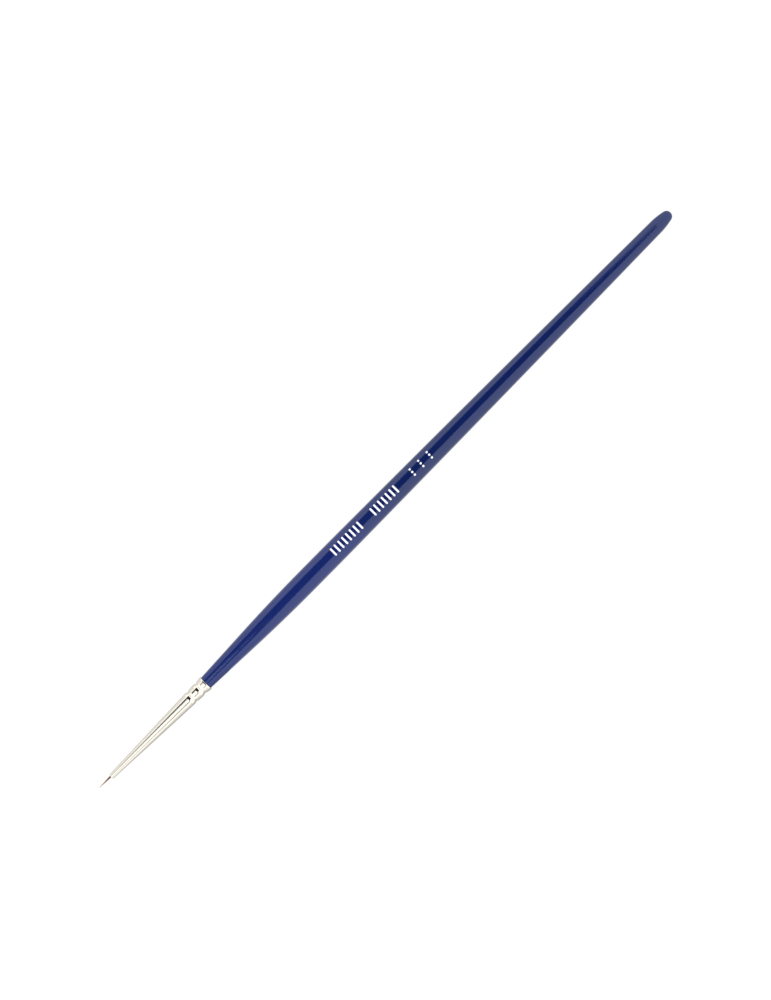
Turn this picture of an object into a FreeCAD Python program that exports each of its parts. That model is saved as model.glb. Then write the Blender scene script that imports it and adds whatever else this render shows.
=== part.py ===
import FreeCAD, Part
import math
import os
from collections import namedtuple

import Sketcher

# A fine detail brush. X runs along the brush from the hair tip (-X) to the tail (+X), Z is up.
# The origin is under the middle of the brush's length, on the surface that it lies on.
# Sketches are drawn in the XZ plane: x is the station, counted from the hair tip along the
# brush, and z is the radius from the piece's own axis. All lengths are in millimetres.

DIMENSIONS = [
    ("overall_length", 175.0, "hair tip to tail"),
    ("axis_height", 2.55, "handle axis above the table; the belly's radius"),
    # handle, over the lacquer
    ("coat_start", 32.2, "station where the lacquer begins, just inside the ferrule"),
    ("neck_radius", 1.53, "at the start of the lacquer"),
    ("shoulder_start", 45.8, "end of the straight neck cone"),
    ("belly_start", 64.0, "start of the cylindrical belly"),
    ("belly_end", 70.0, "end of the cylindrical belly"),
    ("belly_radius", 2.55, "thickest radius"),
    ("taper_start", 75.0, "start of the long taper"),
    ("taper_end", 170.2, "end of the long taper"),
    ("taper_crown_radius", 15300.0, "section radius of the taper, which is very slightly full"),
    ("tail_radius", 1.648, "at the end of the taper"),
    ("nose_radius", 1.25, "round end of the tail"),
    ("lacquer_thickness", 0.12, "radial"),
    # tenon, the bare wood inside the ferrule
    ("tenon_start", 20.5, "station of the tenon's end"),
    ("tenon_chamfer_end", 20.8, "end of the lead-in chamfer"),
    ("tenon_tip_radius", 0.70, "at the tenon's end"),
    ("tenon_front_radius", 0.97, "after the chamfer"),
    ("dent_clearance", 0.08, "left for adhesive between a crimp and the wood"),
    # ferrule
    ("hair_length", 3.7, "free hair, tip to the ferrule's mouth"),
    ("ferrule_end", 32.35, "station of the ferrule's rim"),
    ("ferrule_wall", 0.2, "radial thickness"),
    ("mouth_radius", 0.63, "outside, behind the rounded lip"),
    ("rim_radius", 1.78, "outside, at the flared rim"),
    ("front_crimp", 28.27, "station of the crimp nearer the hair"),
    ("rear_crimp", 30.82, "station of the crimp nearer the handle"),
    ("front_floor_radius", 1.4, "outside, at the bottom of the front crimp"),
    ("rear_floor_radius", 1.44, "outside, at the bottom of the rear crimp"),
    ("crimp_roller_radius", 1.33, "section radius of both crimps"),
    ("crimp_half_width", 0.65, "half of a crimp's width along the brush"),
    ("bead_radius", 3.5, "section radius of the bead between the crimps"),
    ("ferrule_lean", 0.6, "degrees that the ferrule and hair lean towards +Y"),
    # hair, its binding and the resin round its root
    ("hair_root", 13.0, "station of the hairs' cut roots"),
    ("hair_radius", 0.25, "tied bundle"),
    ("hair_tip_radius", 0.02, "at the point"),
    ("hair_taper_radius", 55.0, "section radius of the pointed part"),
    ("hair_offset", 0.12, "bundle axis from the ferrule axis, towards +Y"),
    ("thread_start", 10.9, "station of the first turn"),
    ("thread_diameter", 0.12, "binding thread"),
    ("thread_path_radius", 0.315, "middle of the thread from the bundle's axis"),
    ("thread_pitch", 0.13, "turn to turn"),
    ("thread_turns", 6.0, "number of turns"),
    ("recess_start", 10.8, "front of the space that the binding takes in the resin"),
    ("recess_end", 11.8, "back of that space"),
    ("recess_radius", 0.39, "radius of that space"),
    ("resin_start", 5.5, "station of the resin's front face"),
    ("resin_end", 14.2, "station of the resin's back face"),
    ("glue_start", 20.0, "station of the adhesive's front face"),
    ("glue_end", 32.15, "station of its back face, just short of the lacquer"),
    ("filling_radius", 3.0, "radius of the slabs that limit the fillings, beyond any bore"),
]


class Size:
    """A number together with the spreadsheet expression that it comes from."""

    def __init__(self, value, text):
        self.value = value
        self.text = text

    def __add__(self, other):
        return Size(self.value + other.value, f"{self.text} + {other.text}")

    def __sub__(self, other):
        return Size(self.value - other.value, f"{self.text} - {other.text}")

    def half(self):
        return Size(self.value / 2, f"({self.text}) / 2")


def size_of(name):
    """The Size of one spreadsheet cell."""
    for alias, value, _ in DIMENSIONS:
        if alias == name:
            return Size(value, f"Dims.{name}")
    raise KeyError(name)


NOTHING = Size(0.0, "0")
Edge = namedtuple("Edge", "index first last")  # first and last are (geometry, point) pairs
CENTRE = 3


def make_sheet(doc):
    sheet = doc.addObject("Spreadsheet::Sheet", "Dims")
    for row, (alias, value, note) in enumerate(DIMENSIONS, 1):
        sheet.set(f"A{row}", alias)
        sheet.set(f"B{row}", str(value))
        sheet.set(f"C{row}", note)
        sheet.setAlias(f"B{row}", alias)
    doc.recompute()


# ---------------------------------------------------------------- sketch tools


def new_sketch(body, name):
    """An empty sketch in the body's own XZ plane."""
    planes = [f for f in body.Origin.OriginFeatures if f.Role == "XZ_Plane"]
    sketch = body.newObject("Sketcher::SketchObject", name)
    sketch.AttachmentSupport = [(planes[0], "")]
    sketch.MapMode = "FlatFace"
    return sketch


def point(station, radius):
    return FreeCAD.Vector(station, radius, 0)


def line(sketch, start, end):
    index = sketch.addGeometry(Part.LineSegment(point(*start), point(*end)), False)
    return Edge(index, (index, 1), (index, 2))


def arc(sketch, start, end, radius, crowned=True):
    """An arc from start to a later station, with its centre below it (crowned) or above it."""
    (x0, r0), (x1, r1) = start, end
    reach = math.hypot(x1 - x0, r1 - r0)
    depth = math.sqrt(radius**2 - (reach / 2) ** 2)
    side = -1 if crowned else 1
    centre_x = (x0 + x1) / 2 - side * (r1 - r0) / reach * depth
    centre_r = (r0 + r1) / 2 + side * (x1 - x0) / reach * depth
    begin = math.atan2(r0 - centre_r, x0 - centre_x)
    finish = math.atan2(r1 - centre_r, x1 - centre_x)
    circle = Part.Circle(point(centre_x, centre_r), FreeCAD.Vector(0, 0, 1), radius)
    if crowned:
        index = sketch.addGeometry(Part.ArcOfCircle(circle, finish, begin), False)
        return Edge(index, (index, 2), (index, 1))
    index = sketch.addGeometry(Part.ArcOfCircle(circle, begin, finish), False)
    return Edge(index, (index, 1), (index, 2))


def bind(sketch, kind, geometry, size):
    """Add a dimension and tie it to the spreadsheet."""
    index = sketch.addConstraint(Sketcher.Constraint(kind, *geometry, size.value))
    sketch.setExpression(f"Constraints[{index}]", size.text)


def at_station(sketch, end, size):
    bind(sketch, "DistanceX", (-1, 1, *end), size)


def at_radius(sketch, end, size):
    bind(sketch, "DistanceY", (-1, 1, *end), size)


def on_axis(sketch, end):
    sketch.addConstraint(Sketcher.Constraint("PointOnObject", *end, -1))


def join(sketch, end, other):
    sketch.addConstraint(Sketcher.Constraint("Coincident", *end, *other))


def join_smoothly(sketch, end, other):
    sketch.addConstraint(Sketcher.Constraint("Tangent", *end, *other))


def close_on_axis(sketch, first, last):
    """Close an outline with lines down to the axis and along it. Either end may be on it."""
    ends = []
    for end in (first, last):
        place = sketch.getPoint(*end)
        if place.y > 0:
            drop = line(sketch, (place.x, place.y), (place.x, 0))
            join(sketch, drop.first, end)
            sketch.addConstraint(Sketcher.Constraint("Vertical", drop.index))
            on_axis(sketch, drop.last)
            end = drop.last
        ends.append((end, place.x))
    along = line(sketch, (ends[0][1], 0), (ends[1][1], 0))
    join(sketch, along.first, ends[0][0])
    join(sketch, along.last, ends[1][0])


# ---------------------------------------------------------------- outlines


def handle_side(sketch, skin):
    """The handle's side from the start of the lacquer to the tail, inset by skin."""
    start, shoulder, belly_start, belly_end, taper_start, taper_end, tail = (
        size_of(name)
        for name in (
            "coat_start",
            "shoulder_start",
            "belly_start",
            "belly_end",
            "taper_start",
            "taper_end",
            "overall_length",
        )
    )
    neck = size_of("neck_radius") - skin
    belly = size_of("belly_radius") - skin
    tail_radius = size_of("tail_radius") - skin
    nose = size_of("nose_radius") - skin
    crown = size_of("taper_crown_radius")

    def slope(rise, straight, curved):
        """Slope of a straight stretch that an arc brings to level within the same rise."""
        return rise / (straight + curved / 2)

    rise = slope(
        belly.value - neck.value,
        shoulder.value - start.value,
        belly_start.value - shoulder.value,
    )
    taper_length = taper_end.value - taper_start.value
    fullness = taper_length**2 / (2 * crown.value)  # what the taper falls by its curve alone
    fall = slope(
        belly.value - tail_radius.value - fullness,
        taper_length,
        taper_start.value - belly_end.value,
    )
    shoulder_radius = neck.value + rise * (shoulder.value - start.value)
    taper_radius = belly.value - fall * (taper_start.value - belly_end.value) / 2
    nose_x = tail.value - skin.value - nose.value
    run = nose_x - taper_end.value
    drop = tail_radius.value - nose.value
    flank = (run**2 + drop**2) / (2 * drop) + nose.value  # radius of the arc before the nose
    turn = math.asin(run / (flank - nose.value))
    nose_start = (nose_x + nose.value * math.sin(turn), nose.value * math.cos(turn))
    nose_end = (tail.value - skin.value, 0)

    neck_line = line(sketch, (start.value, neck.value), (shoulder.value, shoulder_radius))
    shoulder_arc = arc(
        sketch,
        (shoulder.value, shoulder_radius),
        (belly_start.value, belly.value),
        (belly_start.value - shoulder.value) / rise,
    )
    belly_line = line(
        sketch, (belly_start.value, belly.value), (belly_end.value, belly.value)
    )
    turn_down = arc(
        sketch,
        (belly_end.value, belly.value),
        (taper_start.value, taper_radius),
        (taper_start.value - belly_end.value) / fall,
    )
    taper = arc(
        sketch,
        (taper_start.value, taper_radius),
        (taper_end.value, tail_radius.value),
        crown.value,
    )
    flank_arc = arc(sketch, (taper_end.value, tail_radius.value), nose_start, flank)
    nose_arc = arc(sketch, nose_start, nose_end, nose.value)

    at_station(sketch, neck_line.first, start)
    at_radius(sketch, neck_line.first, neck)
    at_station(sketch, neck_line.last, shoulder)
    join_smoothly(sketch, neck_line.last, shoulder_arc.first)
    join_smoothly(sketch, shoulder_arc.last, belly_line.first)
    at_station(sketch, belly_line.first, belly_start)
    at_radius(sketch, belly_line.first, belly)
    at_station(sketch, belly_line.last, belly_end)
    sketch.addConstraint(Sketcher.Constraint("Horizontal", belly_line.index))
    join_smoothly(sketch, belly_line.last, turn_down.first)
    join_smoothly(sketch, turn_down.last, taper.first)
    bind(sketch, "Radius", (taper.index,), crown)
    at_station(sketch, taper.first, taper_start)
    at_station(sketch, taper.last, taper_end)
    at_radius(sketch, taper.last, tail_radius)
    join_smoothly(sketch, taper.last, flank_arc.first)
    join_smoothly(sketch, flank_arc.last, nose_arc.first)
    bind(sketch, "Radius", (nose_arc.index,), nose)
    on_axis(sketch, (nose_arc.index, CENTRE))
    on_axis(sketch, nose_arc.last)
    at_station(sketch, nose_arc.last, tail - skin)
    return neck_line.first, nose_arc.last


def ferrule_side(sketch, skin):
    """The ferrule's outside from behind the lip to the rim, inset by skin."""
    roller = size_of("crimp_roller_radius")
    half = size_of("crimp_half_width")
    lip = size_of("ferrule_wall").half()
    mouth = size_of("hair_length") + lip
    end = size_of("ferrule_end")
    depth = roller.value - math.sqrt(roller.value**2 - half.value**2)
    crimps = []
    for name in ("front", "rear"):
        station = size_of(f"{name}_crimp")
        floor = size_of(f"{name}_floor_radius") - skin
        edge = floor.value + depth
        crimp = arc(
            sketch,
            (station.value - half.value, edge),
            (station.value + half.value, edge),
            roller.value,
            crowned=False,
        )
        at_station(sketch, (crimp.index, CENTRE), station)
        at_radius(sketch, (crimp.index, CENTRE), floor + roller)
        bind(sketch, "Radius", (crimp.index,), roller)
        at_station(sketch, crimp.first, station - half)
        at_station(sketch, crimp.last, station + half)
        crimps.append((crimp, station.value - half.value, station.value + half.value, edge))
    (front, front_x, bead_x, front_edge), (rear, bead_end_x, rim_x, rear_edge) = crimps

    mouth_radius = size_of("mouth_radius") - skin
    rim_radius = size_of("rim_radius") - skin
    bead_radius = size_of("bead_radius")
    cone = line(sketch, (mouth.value, mouth_radius.value), (front_x, front_edge))
    bead = arc(sketch, (bead_x, front_edge), (bead_end_x, rear_edge), bead_radius.value)
    rim = line(sketch, (rim_x, rear_edge), (end.value, rim_radius.value))
    at_station(sketch, cone.first, mouth)
    at_radius(sketch, cone.first, mouth_radius)
    join(sketch, cone.last, front.first)
    join(sketch, bead.first, front.last)
    join(sketch, bead.last, rear.first)
    bind(sketch, "Radius", (bead.index,), bead_radius)
    join(sketch, rim.first, rear.last)
    at_station(sketch, rim.last, end)
    at_radius(sketch, rim.last, rim_radius)
    return cone.first, rim.last


# ---------------------------------------------------------------- bodies


def new_body(doc, label):
    body = doc.addObject("PartDesign::Body", label)
    body.Label = label
    return body


def turn(body, sketch, kind="Revolution"):
    """Turn a closed outline about the brush's axis, to add it (Revolution) or cut it (Groove)."""
    feature = body.newObject(f"PartDesign::{kind}", f"{sketch.Name}_turned")
    feature.Profile = sketch
    feature.ReferenceAxis = (sketch, ["H_Axis"])
    feature.Angle = 360
    sketch.Visibility = False
    return feature


def stand_straight(body):
    """Lay a body of the handle on its axis, at the brush's place."""
    body.setExpression("Placement.Base.x", "-Dims.overall_length / 2")
    body.setExpression("Placement.Base.z", "Dims.axis_height")


def lean(body, offset="0"):
    """Lay a body of the front end on the ferrule's axis, which turns about the rim's centre."""
    body.Placement.Rotation = FreeCAD.Rotation(FreeCAD.Vector(0, 0, 1), -1)
    shift = "Dims.ferrule_end * (1 - cos(Dims.ferrule_lean)) - Dims.overall_length / 2"
    body.setExpression("Placement.Rotation.Angle", "-Dims.ferrule_lean")
    body.setExpression("Placement.Base.x", shift)
    body.setExpression(
        "Placement.Base.y", f"Dims.ferrule_end * sin(Dims.ferrule_lean) + {offset}"
    )
    body.setExpression("Placement.Base.z", "Dims.axis_height")


def wooden_handle(doc):
    """Turned hardwood, with the tenon's two dents where the crimps bite."""
    body = new_body(doc, "wooden_handle")
    sketch = new_sketch(body, "wood_outline")
    first, last = handle_side(sketch, size_of("lacquer_thickness"))
    start, chamfer = size_of("tenon_start"), size_of("tenon_chamfer_end")
    tip, front = size_of("tenon_tip_radius"), size_of("tenon_front_radius")
    neck = sketch.getPoint(*first)
    lead_in = line(sketch, (start.value, tip.value), (chamfer.value, front.value))
    tenon = line(sketch, (chamfer.value, front.value), (neck.x, neck.y))
    at_station(sketch, lead_in.first, start)
    at_radius(sketch, lead_in.first, tip)
    join(sketch, lead_in.last, tenon.first)
    at_station(sketch, tenon.first, chamfer)
    at_radius(sketch, tenon.first, front)
    join(sketch, tenon.last, first)
    close_on_axis(sketch, lead_in.first, last)
    turn(body, sketch)

    dents = new_sketch(body, "crimp_dents")
    roller = size_of("crimp_roller_radius")
    for name in ("front", "rear"):
        station = size_of(f"{name}_crimp")
        height = size_of(f"{name}_floor_radius") - size_of("ferrule_wall") + roller
        reach = roller + size_of("dent_clearance")
        centre = point(station.value, height.value)
        circle = Part.Circle(centre, FreeCAD.Vector(0, 0, 1), reach.value)
        index = dents.addGeometry(circle, False)
        at_station(dents, (index, CENTRE), station)
        at_radius(dents, (index, CENTRE), height)
        bind(dents, "Radius", (index,), reach)
    stand_straight(body)
    return body, dents


def lacquer_coat(doc):
    """The dipped coat: the handle's outside less the wood under it."""
    body = new_body(doc, "lacquer_coat")
    for name, skin, kind in (
        ("coat_outline", NOTHING, "Revolution"),
        ("coat_inside", size_of("lacquer_thickness"), "Groove"),
    ):
        sketch = new_sketch(body, name)
        close_on_axis(sketch, *handle_side(sketch, skin))
        turn(body, sketch, kind)
    stand_straight(body)
    return body


def ferrule(doc):
    """Drawn tube with a full-round lip, two crimps, a bead between them and a flared rim."""
    body = new_body(doc, "ferrule")
    sketch = new_sketch(body, "wall_section")
    wall = size_of("ferrule_wall")
    mouth, rim = ferrule_side(sketch, NOTHING)
    bore_mouth, bore_rim = ferrule_side(sketch, wall)
    outer, inner = sketch.getPoint(*mouth), sketch.getPoint(*bore_mouth)
    middle = point(outer.x, (outer.y + inner.y) / 2)
    circle = Part.Circle(middle, FreeCAD.Vector(0, 0, 1), wall.value / 2)
    lip = sketch.addGeometry(Part.ArcOfCircle(circle, math.pi / 2, 3 * math.pi / 2), False)
    join(sketch, (lip, 1), mouth)
    join(sketch, (lip, 2), bore_mouth)
    bind(sketch, "DistanceX", (-1, 1, lip, CENTRE), size_of("hair_length") + wall.half())
    rim_top, rim_bottom = sketch.getPoint(*rim), sketch.getPoint(*bore_rim)
    edge = line(sketch, (rim_top.x, rim_top.y), (rim_bottom.x, rim_bottom.y))
    join(sketch, edge.first, rim)
    join(sketch, edge.last, bore_rim)
    turn(body, sketch)
    lean(body)
    return body


def bore_form(doc):
    """The space inside the ferrule, which the resin and the adhesive take their shape from."""
    body = new_body(doc, "bore_form")
    sketch = new_sketch(body, "bore_outline")
    close_on_axis(sketch, *ferrule_side(sketch, size_of("ferrule_wall")))
    turn(body, sketch)
    lean(body)
    return body


def hair_tuft(doc):
    """The bundle of hairs from its cut roots, through the mouth, to its point."""
    body = new_body(doc, "hair_tuft")
    sketch = new_sketch(body, "tuft_outline")
    mouth, root = size_of("hair_length"), size_of("hair_root")
    radius, taper = size_of("hair_radius"), size_of("hair_taper_radius")
    tip = size_of("hair_tip_radius")
    point_arc = arc(sketch, (0, tip.value), (mouth.value, radius.value), taper.value)
    bundle = line(sketch, (mouth.value, radius.value), (root.value, radius.value))
    at_station(sketch, point_arc.first, NOTHING)
    at_radius(sketch, point_arc.first, tip)
    bind(sketch, "Radius", (point_arc.index,), taper)
    join(sketch, point_arc.last, bundle.first)
    at_station(sketch, bundle.first, mouth)
    at_radius(sketch, bundle.first, radius)
    at_station(sketch, bundle.last, root)
    sketch.addConstraint(Sketcher.Constraint("Horizontal", bundle.index))
    close_on_axis(sketch, point_arc.first, bundle.last)
    turn(body, sketch)
    lean(body, "Dims.hair_offset")
    return body


def tie_thread(doc):
    """The binding: one thread wound round the roots of the hairs."""
    body = new_body(doc, "tie_thread")
    sketch = new_sketch(body, "thread_section")
    station = size_of("thread_start")
    half = size_of("thread_diameter").half()
    height = size_of("thread_path_radius")
    circle = Part.Circle(point(station.value, height.value), FreeCAD.Vector(0, 0, 1), half.value)
    index = sketch.addGeometry(circle, False)
    at_station(sketch, (index, CENTRE), station)
    at_radius(sketch, (index, CENTRE), height)
    bind(sketch, "Radius", (index,), half)
    winding = body.newObject("PartDesign::AdditiveHelix", "winding")
    winding.Profile = sketch
    winding.ReferenceAxis = (sketch, ["H_Axis"])
    winding.Mode = "pitch-turns-angle"
    winding.setExpression("Pitch", "Dims.thread_pitch")
    winding.setExpression("Turns", "Dims.thread_turns")
    sketch.Visibility = False
    lean(body, "Dims.hair_offset")
    return body


def disc(doc, name, start, end, radius, offset="0"):
    """A round slab between two stations, on the ferrule's axis or offset from it."""
    body = new_body(doc, name)
    sketch = new_sketch(body, f"{name}_section")
    side = line(sketch, (start.value, radius.value), (end.value, radius.value))
    at_station(sketch, side.first, start)
    at_radius(sketch, side.first, radius)
    at_station(sketch, side.last, end)
    sketch.addConstraint(Sketcher.Constraint("Horizontal", side.index))
    close_on_axis(sketch, side.first, side.last)
    turn(body, sketch)
    lean(body, offset)
    return body


def filling(doc, label, bore, start, end, inside):
    """What fills the bore between two stations, round the piece that is inside it."""
    stretch = doc.addObject("Part::Common", f"{label}_stretch")
    stretch.Base = bore
    stretch.Tool = disc(doc, f"{label}_slab", start, end, size_of("filling_radius"))
    solid = doc.addObject("Part::Cut", label)
    solid.Label = label
    solid.Base = stretch
    solid.Tool = inside
    return solid


# ---------------------------------------------------------------- the brush


def check(doc, pieces):
    """Stop if any object failed, or a piece isn't one valid solid."""
    for item in doc.Objects:
        if "Invalid" in item.State or "Error" in item.State:
            raise RuntimeError(f"{item.Label}: {item.State}")
        if item.TypeId == "Sketcher::SketchObject" and not item.FullyConstrained:
            raise RuntimeError(f"{item.Label} isn't fully constrained")
    for piece in pieces:
        shape = piece.Shape
        if shape.isNull() or not shape.isValid() or len(shape.Solids) != 1:
            raise RuntimeError(f"{piece.Label} isn't one valid solid")


def main():
    doc = FreeCAD.newDocument("detail_brush")
    make_sheet(doc)
    wood, dents = wooden_handle(doc)
    coat = lacquer_coat(doc)
    tube = ferrule(doc)
    hair = hair_tuft(doc)
    thread = tie_thread(doc)
    bore = bore_form(doc)
    doc.recompute()
    whole = wood.Shape.Volume
    turn(wood, dents, "Groove")
    doc.recompute()
    if wood.Shape.Volume >= whole:
        raise RuntimeError("the crimps left no dents in the tenon")

    root = doc.addObject("Part::Fuse", "bound_root")
    root.Base = hair
    root.Tool = disc(
        doc,
        "binding_space",
        size_of("recess_start"),
        size_of("recess_end"),
        size_of("recess_radius"),
        "Dims.hair_offset",
    )
    resin = filling(
        doc, "epoxy_plug", bore, size_of("resin_start"), size_of("resin_end"), root
    )
    glue = filling(
        doc, "handle_glue", bore, size_of("glue_start"), size_of("glue_end"), wood
    )
    doc.recompute()

    pieces = [wood, coat, tube, glue, resin, thread, hair]
    check(doc, pieces)
    os.makedirs("parts", exist_ok=True)
    for piece in pieces:
        piece.Shape.exportStep(f"parts/{piece.Label}.step")
        box = piece.Shape.BoundBox
        print(
            f"{piece.Label:15} {box.XMin:8.3f} {box.XMax:8.3f}  {box.YMin:7.3f} {box.YMax:7.3f}"
            f"  {box.ZMin:7.3f} {box.ZMax:7.3f}  {piece.Shape.Volume:9.4f} mm3"
        )


main()
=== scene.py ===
import math
import random

import bpy
from mathutils import Matrix, Vector


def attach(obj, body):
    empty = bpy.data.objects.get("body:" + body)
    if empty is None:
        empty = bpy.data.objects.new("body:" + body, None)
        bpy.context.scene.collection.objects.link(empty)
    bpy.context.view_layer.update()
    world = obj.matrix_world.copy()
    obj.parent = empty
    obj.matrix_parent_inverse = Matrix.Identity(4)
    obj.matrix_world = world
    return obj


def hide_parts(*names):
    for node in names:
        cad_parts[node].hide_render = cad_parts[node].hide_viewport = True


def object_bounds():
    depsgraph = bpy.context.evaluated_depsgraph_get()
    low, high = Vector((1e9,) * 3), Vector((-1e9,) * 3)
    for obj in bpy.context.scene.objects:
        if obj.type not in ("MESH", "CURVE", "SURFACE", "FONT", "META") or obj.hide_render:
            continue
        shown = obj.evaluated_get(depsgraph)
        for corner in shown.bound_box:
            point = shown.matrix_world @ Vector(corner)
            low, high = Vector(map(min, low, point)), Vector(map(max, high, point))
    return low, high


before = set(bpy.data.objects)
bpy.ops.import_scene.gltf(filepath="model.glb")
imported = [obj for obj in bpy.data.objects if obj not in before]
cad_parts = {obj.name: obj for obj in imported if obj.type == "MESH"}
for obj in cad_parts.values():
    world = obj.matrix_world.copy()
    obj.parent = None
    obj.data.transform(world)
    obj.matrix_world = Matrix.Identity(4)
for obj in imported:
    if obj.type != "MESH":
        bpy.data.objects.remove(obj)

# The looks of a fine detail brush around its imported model: lacquered handle, crimped ferrule,
# hairs and printed marks. A station is a distance in millimetres from the hair tip along the
# brush, and a radius is measured from the piece's own axis. The scene is in metres, with X
# along the brush towards the tail and Z up.

MM = 0.001
CAD_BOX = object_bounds()
TIP_X = CAD_BOX[0].x
AXIS_Z = (CAD_BOX[0].z + CAD_BOX[1].z) / 2

# handle, outside of the lacquer
BELLY_RADIUS = AXIS_Z / MM
COAT_START = 32.2
NECK_RADIUS = 1.53
SHOULDER_START = 45.8
BELLY_START = 64.0
BELLY_END = 70.0
TAPER_START = 75.0
TAPER_END = 170.2
TAPER_CROWN_RADIUS = 15300.0  # the taper is very slightly full
TAIL_RADIUS = 1.648
NOSE_RADIUS = 1.25
TAIL_END = 174.99
PRINT_HEIGHT = 0.012  # the marks stand this far above the lacquer
HANDLE_STEP = 0.5  # from ring to ring
AROUND = 96  # vertices in a ring of a turned piece

# ferrule
HAIR_LENGTH = 3.7
FERRULE_END = 32.5
WALL = 0.2
MOUTH_RADIUS = 0.63
RIM_RADIUS = 1.78
# each crimp: its station, then the radius at its bottom, in front of it and behind it
CRIMPS = ((28.22, 1.365, 1.56, 1.585), (30.74, 1.44, 1.655, 1.635))
# the slopes in front of a crimp's bottom and behind it, as points of (station from the
# bottom, share of the height)
CRIMP_FRONT = ((-0.76, 1.0), (-0.58, 0.93), (-0.4, 0.78), (-0.23, 0.58), (-0.03, 0.0))
CRIMP_BACK = ((0.0, -0.08), (0.12, 0.1), (0.26, 0.45), (0.42, 0.82), (0.58, 1.0))
EDGE_ROUNDING = 0.13  # width of the average that takes the corners off the crimps
WAIST_START = 26.4  # the cone in front of it is straight and needs few rings
RING_STEP = 0.05
CONE_SPACING = 12  # the cone keeps one ring in this many
INSIDE_SPACING = 3  # and the inside keeps one of the outside's in this many
RIM_LENGTH = 0.3  # the rim's end, which has no flare
RIM_DROP = 0.01
LEAN = math.radians(0.6)  # of the ferrule and hair, towards +Y

# hair
HAIR_ROOT = 13.0
BUNDLE_RADIUS = 0.25
BUNDLE_OFFSET = 0.12
BUNDLE_FULLNESS = 0.35  # how far the drawn point bulges beyond a cone
HAIR_COUNT = 48
HAIR_RADIUS = 0.036
HAIR_TIP_RADIUS = 0.02
HAIR_STEPS = 26
HAIR_SIDES = 7
MIDDLE_HAIRS = 0.08  # share of the hairs that reach the very tip
SHORTEST = 0.42  # the skin's hairs end up to this share of the length behind the tip
HAIR_TWIST = 0.5  # most that a hair turns about the bundle's axis, in radians
HAIR_SWAY = 0.10  # share of its room by which a hair weaves sideways
HAIR_TAPER = 0.6  # below 1, a hair thins late

# studio
CAMERA_HEIGHT = 0.5
CAMERA_PLACE = (0.00019, 0.00015)  # centres the brush in the frame
VIEW_TURN = math.radians(-45.36)  # the brush lies across the frame, tip at the lower left
VIEW_LENGTH = 0.2156  # metres of the long side of the frame, at the brush
SENSOR = 36.0


# ---------------------------------------------------------------- places on the brush


def handle_point(station, radius=0.0, turn=0.0):
    """A point of the handle: turn is the angle round its axis, from the top towards +Y."""
    return Vector(
        (
            TIP_X + station * MM,
            radius * MM * math.sin(turn),
            AXIS_Z + radius * MM * math.cos(turn),
        )
    )


def front_matrix(offset=0.0):
    """From the straight brush to the front end, which leans about the rim's centre."""
    rim = Vector((TIP_X + FERRULE_END * MM, 0, AXIS_Z))
    turn = Matrix.Rotation(-LEAN, 4, "Z")
    shift = Matrix.Translation((0, offset * MM, 0))
    return Matrix.Translation(rim) @ turn @ shift @ Matrix.Translation(-rim)


# ---------------------------------------------------------------- outlines


def arc_points(centre, radius, start, end, count):
    """Points of a circle's arc, from angle start to angle end, in the (station, radius) plane."""
    angles = (start + (end - start) * i / count for i in range(count + 1))
    return [
        (centre[0] + radius * math.cos(a), centre[1] + radius * math.sin(a))
        for a in angles
    ]


def rise_and_fall():
    """Slopes of the neck cone and of the taper's front, each met by an arc that levels out."""
    up = (BELLY_RADIUS - NECK_RADIUS) / (
        SHOULDER_START - COAT_START + (BELLY_START - SHOULDER_START) / 2
    )
    fullness = (TAPER_END - TAPER_START) ** 2 / (2 * TAPER_CROWN_RADIUS)
    down = (BELLY_RADIUS - TAIL_RADIUS - fullness) / (
        TAPER_END - TAPER_START + (TAPER_START - BELLY_END) / 2
    )
    return up, down


def handle_radius(station):
    """The handle's outside radius before its rounded end."""
    up, down = rise_and_fall()
    if station < SHOULDER_START:
        return NECK_RADIUS + up * (station - COAT_START)
    if station < BELLY_START:
        left = BELLY_START - station
        return BELLY_RADIUS - up * left**2 / (2 * (BELLY_START - SHOULDER_START))
    if station < BELLY_END:
        return BELLY_RADIUS
    if station < TAPER_START:
        gone = station - BELLY_END
        return BELLY_RADIUS - down * gone**2 / (2 * (TAPER_START - BELLY_END))
    front = BELLY_RADIUS - down * (TAPER_START - BELLY_END) / 2
    gone = station - TAPER_START
    return front - down * gone - gone**2 / (2 * TAPER_CROWN_RADIUS)


def handle_outline():
    """(station, radius) points of the lacquer, a print height under its full size."""
    length = TAPER_END - COAT_START
    count = round(length / HANDLE_STEP)
    stations = [COAT_START + length * i / count for i in range(count)]
    points = [(s, handle_radius(s)) for s in stations]
    nose_centre = TAIL_END - NOSE_RADIUS
    run = nose_centre - TAPER_END
    drop = TAIL_RADIUS - NOSE_RADIUS
    flank = (run**2 + drop**2) / (2 * drop) + NOSE_RADIUS
    turn = math.asin(run / (flank - NOSE_RADIUS))
    level = math.pi / 2
    flank_centre = (TAPER_END, TAIL_RADIUS - flank)
    points += arc_points(flank_centre, flank, level, level - turn, 16)[:-1]
    points += arc_points((nose_centre, 0), NOSE_RADIUS, level - turn, 0, 16)
    return [(s, max(0.0, r - PRINT_HEIGHT)) for s, r in points]


def crimp_points(station, bottom, before, behind):
    """The outline of one crimp."""
    front = [(station + s, bottom + (before - bottom) * h) for s, h in CRIMP_FRONT]
    back = [(station + s, bottom + (behind - bottom) * h) for s, h in CRIMP_BACK]
    return front + back


def softened(points, width):
    """Moving average of the radius along an outline, which rounds its corners off."""
    result = []
    for station, radius in points:
        near = [r for s, r in points if abs(s - station) <= width / 2]
        result.append((station, sum(near) / len(near)))
    return result


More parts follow.
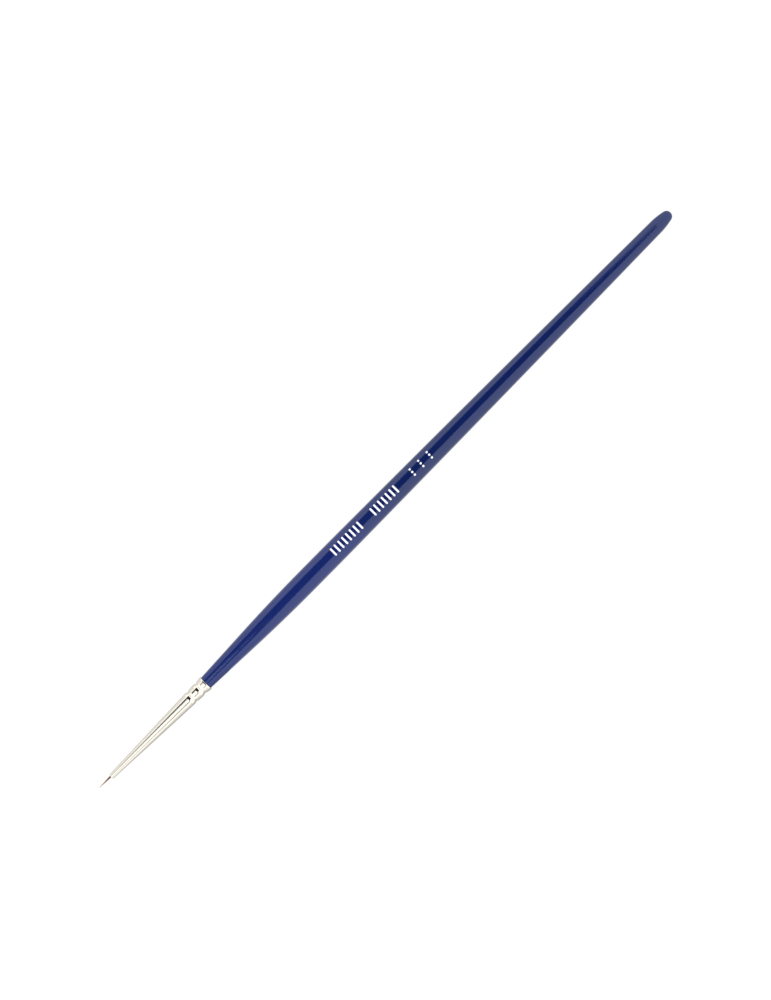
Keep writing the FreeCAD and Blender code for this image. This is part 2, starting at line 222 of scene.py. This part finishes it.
def evenly(points, step):
    """The same outline with a point at every step of its station."""
    result = []
    count = round((points[-1][0] - points[0][0]) / step)
    k = 0
    for i in range(count + 1):
        station = points[0][0] + (points[-1][0] - points[0][0]) * i / count
        while k < len(points) - 2 and points[k + 1][0] < station:
            k += 1
        (s0, r0), (s1, r1) = points[k], points[k + 1]
        share = 0.0 if s1 == s0 else (station - s0) / (s1 - s0)
        result.append((station, r0 + (r1 - r0) * share))
    return result


def ferrule_outline():
    """Closed (station, radius) outline of the ferrule's wall, outside first."""
    lip = WALL / 2
    cone_start = (HAIR_LENGTH + lip, MOUTH_RADIUS)
    rim = (FERRULE_END - lip, RIM_RADIUS - RIM_DROP)
    waist = crimp_points(*CRIMPS[0]) + crimp_points(*CRIMPS[1])
    flare_end = (FERRULE_END - RIM_LENGTH, RIM_RADIUS)
    outside = evenly([cone_start] + waist + [flare_end, rim], RING_STEP)
    outside = softened(softened(outside, EDGE_ROUNDING), EDGE_ROUNDING)
    outside = [p for i, p in enumerate(outside) if p[0] > WAIST_START or i % CONE_SPACING == 0]
    up = math.pi / 2
    mouth_lip = arc_points((cone_start[0], MOUTH_RADIUS - lip), lip, 3 * up, up, 10)
    rim_lip = arc_points((rim[0], rim[1] - lip), lip, up, -up, 10)
    inside = [(s, r - WALL) for s, r in reversed(outside[::INSIDE_SPACING])]
    return mouth_lip[:-1] + outside + rim_lip[1:-1] + inside[1:-1]


# ---------------------------------------------------------------- meshes


def new_object(name, vertices, faces):
    mesh = bpy.data.meshes.new(name)
    mesh.from_pydata(vertices, [], faces)
    mesh.validate()
    thing = bpy.data.objects.new(name, mesh)
    bpy.context.scene.collection.objects.link(thing)
    return thing


def smooth(thing, sharp_angle=50):
    thing.data.shade_smooth()
    thing.data.set_sharp_from_angle(angle=math.radians(sharp_angle))


def lathe(name, outline, closed=False):
    """A turned mesh. The outline runs towards the tail with the outside on its left; a point
    on the axis becomes a single vertex."""
    vertices, rings = [], []
    for station, radius in outline:
        if radius < 1e-6:
            rings.append([len(vertices)])
            vertices.append(handle_point(station))
            continue
        rings.append(list(range(len(vertices), len(vertices) + AROUND)))
        turns = (2 * math.pi * i / AROUND for i in range(AROUND))
        vertices += [handle_point(station, radius, turn) for turn in turns]
    pairs = list(zip(rings, rings[1:]))
    if closed:
        pairs.append((rings[-1], rings[0]))
    faces = []
    for near, far in pairs:
        for i in range(AROUND):
            j = (i + 1) % AROUND
            if len(far) == 1:
                faces.append((near[i], near[j], far[0]))
            elif len(near) == 1:
                faces.append((near[0], far[j], far[i]))
            else:
                faces.append((near[i], near[j], far[j], far[i]))
    if not closed and len(rings[0]) > 1:
        faces.append(tuple(reversed(rings[0])))
    return new_object(name, vertices, faces)


def make_handle():
    thing = lathe("handle_lacquer", handle_outline())
    smooth(thing)
    return thing


def make_ferrule():
    thing = lathe("ferrule_tube", ferrule_outline(), closed=True)
    thing.data.transform(front_matrix())
    smooth(thing)
    return thing


def bundle_radius(station):
    """The tied bundle's outside: parallel inside the ferrule, then drawn to a point."""
    if station > HAIR_LENGTH:
        return BUNDLE_RADIUS
    share = station / HAIR_LENGTH
    full = (1 + BUNDLE_FULLNESS) * share - BUNDLE_FULLNESS * share**2
    return HAIR_TIP_RADIUS + (BUNDLE_RADIUS - HAIR_TIP_RADIUS) * full


def hair_path(rank, luck):
    """Centre points and radii of one hair, from its root to its tip. rank runs from 0 at the
    middle of the bundle to 1 at its skin."""
    golden = math.pi * (3 - math.sqrt(5))
    turn = rank * HAIR_COUNT * golden
    place = math.sqrt(rank)
    tip = HAIR_LENGTH * SHORTEST * place * luck.random() if rank > MIDDLE_HAIRS else 0.0
    twist = luck.uniform(-HAIR_TWIST, HAIR_TWIST)
    points, radii = [], []
    for i in range(HAIR_STEPS + 1):
        share = i / HAIR_STEPS
        station = HAIR_ROOT + (tip - HAIR_ROOT) * share
        free = max(0.0, 1 - station / HAIR_LENGTH)
        thin = (1 - free) ** HAIR_TAPER if free > 0 else 1.0
        radius = HAIR_TIP_RADIUS + (HAIR_RADIUS - HAIR_TIP_RADIUS) * thin
        if i == HAIR_STEPS:
            radius = HAIR_TIP_RADIUS * 0.4
        room = max(0.0, bundle_radius(station) - radius)
        angle = turn + twist * free
        sway = HAIR_SWAY * math.sin(5 * share + 9 * twist) * room * free
        centre = handle_point(station, place * room + sway, angle)
        points.append(centre)
        radii.append(radius * MM)
    return points, radii


def tube(points, radii, sides, vertices, faces):
    """Add a closed tube along nearly straight points to a mesh being built."""
    start = len(vertices)
    for centre, radius in zip(points, radii):
        for i in range(sides):
            turn = 2 * math.pi * i / sides
            offset = Vector((0, math.sin(turn) * radius, math.cos(turn) * radius))
            vertices.append(centre + offset)
    for ring in range(len(points) - 1):
        a = start + ring * sides
        for i in range(sides):
            j = (i + 1) % sides
            faces.append((a + i, a + sides + i, a + sides + j, a + j))
    last = start + (len(points) - 1) * sides
    faces.append(tuple(range(start, start + sides)))
    faces.append(tuple(reversed(range(last, last + sides))))


def make_hairs():
    luck = random.Random(7)
    vertices, faces = [], []
    for i in range(HAIR_COUNT):
        points, radii = hair_path(i / (HAIR_COUNT - 1), luck)
        tube(points, radii, HAIR_SIDES, vertices, faces)
    thing = new_object("hairs", vertices, faces)
    thing.data.transform(front_matrix(BUNDLE_OFFSET))
    smooth(thing)
    return thing


# ---------------------------------------------------------------- printed marks

PRINT_HALF_HEIGHT = 1.08  # across the brush, along the surface
PRINT_CENTRE = 0.30  # towards +Y, along the surface
BAR_WIDTH = 0.42
BAR_PITCH = 1.15
BAR_GROUPS = ((71.9, 8), (84.0, 7))  # station of the first bar, and how many
DOT_WIDTH = 0.5
DOT_PITCH = 0.82  # across the brush
DOT_STATIONS = (96.0, 98.6, 101.2)
PATCH_ROWS = 16


def print_patch(outline, vertices, faces):
    """A filled convex patch laid on the handle. outline holds (station, across) points, and
    across is measured along the surface from the top towards +Y. Rows keep it on the curve."""
    low = min(across for _, across in outline)
    high = max(across for _, across in outline)
    start = len(vertices)
    for row in range(PATCH_ROWS + 1):
        across = low + (high - low) * row / PATCH_ROWS
        ends = crossing(outline, across)
        for station in ends:
            radius = handle_radius(station)
            vertices.append(handle_point(station, radius, across / radius))
    for row in range(PATCH_ROWS):
        a = start + 2 * row
        faces.append((a, a + 1, a + 3, a + 2))


def crossing(outline, across):
    """First and last station where a closed outline meets a line across the brush."""
    found = []
    slack = 1e-9
    for (s0, a0), (s1, a1) in zip(outline, outline[1:] + outline[:1]):
        if min(a0, a1) - slack <= across <= max(a0, a1) + slack:
            share = 0.0 if a0 == a1 else (across - a0) / (a1 - a0)
            found.append(s0 + (s1 - s0) * share)
    return min(found), max(found)


def rounded_bar(station, centre, width, height):
    """Outline of an upright bar with round ends; as high as wide, it is a dot."""
    radius = width / 2
    straight = height / 2 - radius
    top = arc_points((station, centre + straight), radius, 0, math.pi, 12)
    bottom = arc_points((station, centre - straight), radius, math.pi, 2 * math.pi, 12)
    return top + bottom


def make_marks():
    """Plain bars and dots, printed where such a brush carries its marking."""
    vertices, faces = [], []
    full = 2 * PRINT_HALF_HEIGHT
    for first, count in BAR_GROUPS:
        for i in range(count):
            bar = rounded_bar(first + BAR_PITCH * i, PRINT_CENTRE, BAR_WIDTH, full)
            print_patch(bar, vertices, faces)
    for station in DOT_STATIONS:
        for across in (-DOT_PITCH, 0.0, DOT_PITCH):
            dot = rounded_bar(station, PRINT_CENTRE + across, DOT_WIDTH, DOT_WIDTH)
            print_patch(dot, vertices, faces)
    thing = new_object("printed_marks", vertices, faces)
    smooth(thing)
    return thing


# ---------------------------------------------------------------- materials


class Paint:
    """A node material being built around one Principled shader."""

    def __init__(self, name):
        self.material = bpy.data.materials.new(name)
        self.material.use_nodes = True
        self.tree = self.material.node_tree
        self.tree.nodes.clear()
        self.shader = self.add("ShaderNodeBsdfPrincipled")
        output = self.add("ShaderNodeOutputMaterial")
        self.link(self.shader.outputs[0], output.inputs["Surface"])
        self.place = self.add("ShaderNodeTexCoord").outputs["Object"]

    def add(self, kind, **settings):
        node = self.tree.nodes.new(kind)
        for name, value in settings.items():
            setattr(node, name, value)
        return node

    def link(self, source, target):
        self.tree.links.new(source, target)

    def values(self, **numbers):
        """Uniform values on the shader's own sockets, with _ for a space in their names."""
        for name, value in numbers.items():
            self.shader.inputs[name.replace("_", " ")].default_value = value

    def stretched(self, along, across):
        """Coordinates scaled differently along the brush and across it, in 1/m."""
        node = self.add("ShaderNodeMapping")
        node.inputs["Scale"].default_value = (along, across, across)
        self.link(self.place, node.inputs["Vector"])
        return node.outputs[0]

    def noise(self, coordinates, detail=3.0, roughness=0.5):
        node = self.add("ShaderNodeTexNoise")
        node.inputs["Scale"].default_value = 1.0
        node.inputs["Detail"].default_value = detail
        node.inputs["Roughness"].default_value = roughness
        self.link(coordinates, node.inputs["Vector"])
        return node.outputs["Fac"]

    def ramp(self, factor, *stops):
        """Colours or greys between (position, colour) stops."""
        node = self.add("ShaderNodeValToRGB")
        band = node.color_ramp.elements
        while len(band) < len(stops):
            band.new(0.5)
        for element, (position, colour) in zip(band, stops):
            element.position = position
            element.color = (*colour, 1) if isinstance(colour, tuple) else (colour,) * 3 + (1,)
        self.link(factor, node.inputs[0])
        return node.outputs[0]

    def span(self, factor, low, high, to_low=0.0, to_high=1.0):
        """A value mapped from one range to another, held at the ends."""
        node = self.add("ShaderNodeMapRange")
        for name, value in zip(
            ("From Min", "From Max", "To Min", "To Max"), (low, high, to_low, to_high)
        ):
            node.inputs[name].default_value = value
        self.link(factor, node.inputs["Value"])
        return node.outputs[0]

    def maths(self, operation, first, second=None):
        node = self.add("ShaderNodeMath", operation=operation)
        for socket, value in zip(node.inputs, (first, second)):
            if isinstance(value, (int, float)):
                socket.default_value = value
            elif value is not None:
                self.link(value, socket)
        return node.outputs[0]

    def axis(self, index):
        node = self.add("ShaderNodeSeparateXYZ")
        self.link(self.place, node.inputs[0])
        return node.outputs[index]

    def bump(self, height, distance):
        """Feed a height to the shader's normal. distance is its full relief in millimetres."""
        node = self.add("ShaderNodeBump")
        node.inputs["Strength"].default_value = 1.0
        node.inputs["Distance"].default_value = distance * MM
        self.link(height, node.inputs["Height"])
        self.link(node.outputs[0], self.shader.inputs["Normal"])

    def colour(self, source):
        self.link(source, self.shader.inputs["Base Color"])

    def roughness(self, source):
        self.link(source, self.shader.inputs["Roughness"])


def station_value(paint):
    """The station in millimetres, as a node value."""
    metres = paint.maths("SUBTRACT", paint.axis(0), TIP_X)
    return paint.maths("DIVIDE", metres, MM)


DEEPENING = (70.0, 100.0)  # stations between which the lacquer grows deeper in colour


def lacquer_paint():
    """Dipped blue lacquer: deep and even, a little lighter towards the ferrule, with faint
    lengthwise streaks and a soft waviness."""
    paint = Paint("blue_lacquer")
    streaks = paint.noise(paint.stretched(60, 900), detail=4)
    depth = paint.span(station_value(paint), *DEEPENING)
    mixed = paint.maths("ADD", depth, paint.maths("MULTIPLY", streaks, 0.6))
    paint.colour(
        paint.ramp(mixed, (0.3, (0.0045, 0.0150, 0.128)), (1.0, (0.0018, 0.0104, 0.092)))
    )
    paint.roughness(paint.ramp(paint.noise(paint.stretched(500, 900)), (0.3, 0.12), (0.8, 0.19)))
    paint.values(IOR=1.66, Specular_Tint=(0.73, 0.81, 1.0, 1))
    ripple = paint.noise(paint.stretched(220, 420), detail=2)
    paint.bump(ripple, 0.008)
    return paint.material


def metal_paint():
    """Nickel plate over brass: warm, polished, with fine turning lines and slight tarnish."""
    paint = Paint("nickel_plate")
    cloud = paint.noise(paint.stretched(900, 900), detail=4)
    paint.colour(paint.ramp(cloud, (0.35, (0.87, 0.82, 0.72)), (0.7, (0.92, 0.88, 0.80))))
    lines = paint.noise(paint.stretched(24000, 300), detail=2)
    paint.roughness(paint.ramp(lines, (0.3, 0.07), (0.75, 0.15)))
    paint.values(Metallic=1.0)
    paint.bump(lines, 0.00025)
    return paint.material


def hair_paint():
    """Brown hair, dark at the root and paler to the point."""
    paint = Paint("brown_hair")
    station = station_value(paint)
    share = paint.span(station, 0.0, HAIR_LENGTH)
    shade = paint.noise(paint.stretched(500, 26000), detail=2)
    mixed = paint.maths("ADD", share, paint.maths("MULTIPLY", shade, 0.35))
    paint.colour(
        paint.ramp(
            mixed,
            (0.15, (0.30, 0.23, 0.15)),
            (0.55, (0.40, 0.19, 0.07)),
            (1.0, (0.14, 0.055, 0.022)),
        )
    )
    paint.roughness(paint.ramp(shade, (0.3, 0.32), (0.7, 0.48)))
    paint.values(IOR=1.55)
    paint.bump(shade, 0.004)
    return paint.material


def print_paint():
    """White foil print, very slightly worn and uneven."""
    paint = Paint("white_print")
    wear = paint.noise(paint.stretched(2500, 2500), detail=5, roughness=0.6)
    paint.colour(paint.ramp(wear, (0.25, (0.80, 0.83, 0.90)), (0.5, (0.93, 0.94, 0.97))))
    paint.roughness(paint.ramp(wear, (0.3, 0.5), (0.7, 0.36)))
    paint.bump(wear, 0.003)
    return paint.material


def wood_paint():
    """Pale turned hardwood, with its grain along the handle."""
    paint = Paint("turned_wood")
    rings = paint.noise(paint.stretched(25, 2200), detail=6, roughness=0.6)
    paint.colour(
        paint.ramp(
            rings,
            (0.3, (0.42, 0.27, 0.14)),
            (0.5, (0.60, 0.42, 0.24)),
            (0.75, (0.70, 0.53, 0.33)),
        )
    )
    paint.roughness(paint.ramp(rings, (0.3, 0.72), (0.7, 0.52)))
    paint.bump(rings, 0.02)
    return paint.material


def resin_paint(name, dark, pale, gloss):
    """Set resin or glue, clouded by tiny bubbles."""
    paint = Paint(name)
    cloud = paint.noise(paint.stretched(2600, 2600), detail=5, roughness=0.65)
    paint.colour(paint.ramp(cloud, (0.3, dark), (0.7, pale)))
    paint.roughness(paint.ramp(cloud, (0.3, gloss), (0.7, gloss + 0.2)))
    paint.bump(cloud, 0.01)
    return paint.material


def thread_paint():
    """Twisted binding thread: fine slanting plies."""
    paint = Paint("binding_thread")
    node = paint.add("ShaderNodeTexWave", wave_type="BANDS", bands_direction="DIAGONAL")
    node.inputs["Scale"].default_value = 1.0
    node.inputs["Distortion"].default_value = 1.5
    paint.link(paint.stretched(9000, 9000), node.inputs["Vector"])
    plies = node.outputs["Fac"]
    paint.colour(paint.ramp(plies, (0.2, (0.55, 0.50, 0.42)), (0.8, (0.84, 0.80, 0.72))))
    paint.roughness(paint.ramp(plies, (0.2, 0.9), (0.8, 0.7)))
    paint.bump(plies, 0.01)
    return paint.material


def dress(thing, material):
    """Give every material slot of a piece the same material."""
    if not thing.data.materials:
        thing.data.materials.append(material)
    for i in range(len(thing.data.materials)):
        thing.data.materials[i] = material


# ---------------------------------------------------------------- studio


WORLD_BRIGHTNESS = 1.25
FLOOR_REACH = 4.0  # metres from the middle to each side
FLOOR_GREY = 0.12
FLOOR_GLOW = 0.88  # keeps the floor nearly white, with only faint shadows


def emitter(name, colour):
    material = bpy.data.materials.new(name)
    material.use_nodes = True
    tree = material.node_tree
    tree.nodes.clear()
    glow = tree.nodes.new("ShaderNodeEmission")
    glow.inputs["Color"].default_value = (*colour, 1)
    glow.inputs["Strength"].default_value = 1.0
    output = tree.nodes.new("ShaderNodeOutputMaterial")
    tree.links.new(glow.outputs[0], output.inputs["Surface"])
    return material


def make_world():
    world = bpy.data.worlds.new("studio")
    bpy.context.scene.world = world
    world.use_nodes = True
    background = world.node_tree.nodes["Background"]
    background.inputs["Color"].default_value = (1.0, 1.0, 1.0, 1)
    background.inputs["Strength"].default_value = WORLD_BRIGHTNESS


def make_floor():
    side = FLOOR_REACH
    corners = [(-side, -side, 0), (side, -side, 0), (side, side, 0), (-side, side, 0)]
    floor = new_object("floor", corners, [(0, 1, 2, 3)])
    material = bpy.data.materials.new("pale_floor")
    material.use_nodes = True
    shader = material.node_tree.nodes["Principled BSDF"]
    shader.inputs["Base Color"].default_value = (FLOOR_GREY,) * 3 + (1,)
    shader.inputs["Roughness"].default_value = 0.9
    shader.inputs["Emission Color"].default_value = (1.0, 1.0, 1.0, 1)
    shader.inputs["Emission Strength"].default_value = FLOOR_GLOW
    floor.data.materials.append(material)


# The dark camera and stand above the brush, as the polished surfaces mirror them. Each row is
# (place along the brush in millimetres from its middle, lowest and highest angle round the
# brush's axis in degrees from straight up, positive towards -Y).
SHADE_ROWS = (
    (-134, -50, 31),
    (-100, -53, 27),
    (-70, -53, 20),
    (-40, -52, 18),
    (0, -54, 13),
    (20, -54, 11),
    (90, -58, 11),
    (124, -62, 11),
    (132, -51, 12),
    (140, -41, 13),
    (148, -31, 16),
    (158, -27, 17),
    (160, -10, 12),
)
# two arms of the stand beyond its front end: lowest and highest angle
PRONGS = ((-52, -26), (24, 36))
# stretches of the prongs along the brush, and their brightness
PRONG_STRETCHES = (
    (-260, -200, 0.45),
    (-200, -168, 0.40),
    (-168, -150, 0.20),
    (-150, -134, 0.04),
)
# a narrow gap of light in the shade, which the neck mirrors as a thin line
SLIT_ROWS = ((-142, 0, 6), (-118, -4, 2))
SLIT_COLOUR = (4.0, 4.6, 5.8)
SHADE_RADIUS = 0.4
SLIT_RADIUS = 0.396
SHADE_COLUMNS = 24  # faces across a card
SHADE_COLOUR = (0.02, 0.02, 0.022)
# What the sides mirror of the table, where the bands closest to the brush on its tip half are
# darker towards it as painted shadow of the brush on the table: from and to along the brush,
# nearest and farthest distance from its axis, all in millimetres and positive towards +Y, and
# brightness.
TABLE_AND_SHADOW_BANDS = (
    # painted shadow of the brush: the dimmest bands lie right beside it
    (-700, -50, -5, -1.5, 0.42),
    (-700, -50, -9, -5, 0.58),
    (-700, -50, -25, -9, 0.66),
    (-700, -50, -700, -25, 0.72),
    (-700, -50, 1.5, 6, 0.74),
    (-700, -50, 6, 700, 0.82),
    (-50, 700, -700, -1.5, 0.95),
    (-50, 700, 1.5, 700, 0.86),
)
BAND_LIFT = 0.01
# low walls beside the hair's end, which dim the ferrule's sides; in metres but for the span
WALL_DISTANCE = 0.68
WALL_HEIGHT = 0.30
WALL_SPAN = (-700, -140)
WALL_BRIGHTNESS = 0.9


def shade_point(along, angle, radius=SHADE_RADIUS):
    turn = math.radians(angle)
    return (along * MM, -radius * math.sin(turn), AXIS_Z + radius * math.cos(turn))


def only_mirrored(card):
    """Show a studio card to mirror reflections and to nothing else."""
    card.visible_camera = False
    card.visible_diffuse = False
    card.visible_shadow = False
    card.visible_transmission = False


def shade_strip(name, rows, colour, radius=SHADE_RADIUS):
    """A curved card through rows of (along, low angle, high angle)."""
    columns = SHADE_COLUMNS
    vertices, faces = [], []
    for along, low, high in rows:
        for i in range(columns + 1):
            vertices.append(shade_point(along, low + (high - low) * i / columns, radius))
    for row in range(len(rows) - 1):
        for i in range(columns):
            a = row * (columns + 1) + i
            b = a + columns + 1
            faces.append((a, a + 1, b + 1, b))
    card = new_object(name, vertices, faces)
    card.data.materials.append(emitter(name, colour))
    only_mirrored(card)


def make_shades():
    shade_strip("dark_overhead", SHADE_ROWS, SHADE_COLOUR)
    for low, high in PRONGS:
        for start, end, grey in PRONG_STRETCHES:
            shade_strip("prong", ((start, low, high), (end, low, high)), (grey,) * 3)
    shade_strip("slit", SLIT_ROWS, SLIT_COLOUR, SLIT_RADIUS)


def glowing_card(name, corners, grey):
    """A flat card, seen in mirror reflections only."""
    card = new_object(name, corners, [(0, 1, 2, 3)])
    card.data.materials.append(emitter(name, (grey,) * 3))
    only_mirrored(card)


def make_table_and_shadow_bands():
    """Cards just over the floor and beside it: how bright the polished sides mirror them, with
    painted shadow of the brush in the bands nearest it.
    """
    lift = BAND_LIFT * MM
    for start, end, near, far, grey in TABLE_AND_SHADOW_BANDS:
        x0, x1, y0, y1 = (value * MM for value in (start, end, near, far))
        corners = [(x0, y0, lift), (x1, y0, lift), (x1, y1, lift), (x0, y1, lift)]
        glowing_card("table_and_shadow_band", corners, grey)
    x0, x1 = (value * MM for value in WALL_SPAN)
    for y in (-WALL_DISTANCE, WALL_DISTANCE):
        corners = [(x0, y, 0), (x1, y, 0), (x1, y, WALL_HEIGHT), (x0, y, WALL_HEIGHT)]
        glowing_card("side_wall", corners, WALL_BRIGHTNESS)


def make_camera():
    data = bpy.data.cameras.new("camera")
    data.sensor_width = SENSOR
    data.lens = SENSOR * CAMERA_HEIGHT / VIEW_LENGTH
    data.clip_start = 0.01
    data.clip_end = 10.0
    camera = bpy.data.objects.new("camera", data)
    bpy.context.scene.collection.objects.link(camera)
    camera.location = (*CAMERA_PLACE, AXIS_Z + CAMERA_HEIGHT)
    camera.rotation_euler = (0, 0, VIEW_TURN)
    bpy.context.scene.camera = camera


# ---------------------------------------------------------------- the whole scene


def make_brush():
    lacquer = make_handle()
    dress(lacquer, lacquer_paint())
    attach(lacquer, "root")
    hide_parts("lacquer_coat")

    ferrule = make_ferrule()
    dress(ferrule, metal_paint())
    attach(ferrule, "root")
    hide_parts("ferrule")

    hairs = make_hairs()
    dress(hairs, hair_paint())
    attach(hairs, "root")
    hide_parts("hair_tuft")

    marks = make_marks()
    dress(marks, print_paint())
    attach(marks, "root")

    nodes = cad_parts
    dress(nodes["wooden_handle"], wood_paint())
    dress(nodes["tie_thread"], thread_paint())
    amber = ((0.50, 0.30, 0.09), (0.66, 0.45, 0.18))
    cream = ((0.62, 0.55, 0.38), (0.80, 0.74, 0.58))
    dress(nodes["epoxy_plug"], resin_paint("amber_resin", *amber, 0.15))
    dress(nodes["handle_glue"], resin_paint("cream_glue", *cream, 0.4))


make_brush()
make_world()
make_floor()
make_shades()
make_table_and_shadow_bands()
make_camera()
bpy.context.scene.view_settings.view_transform = "Standard"
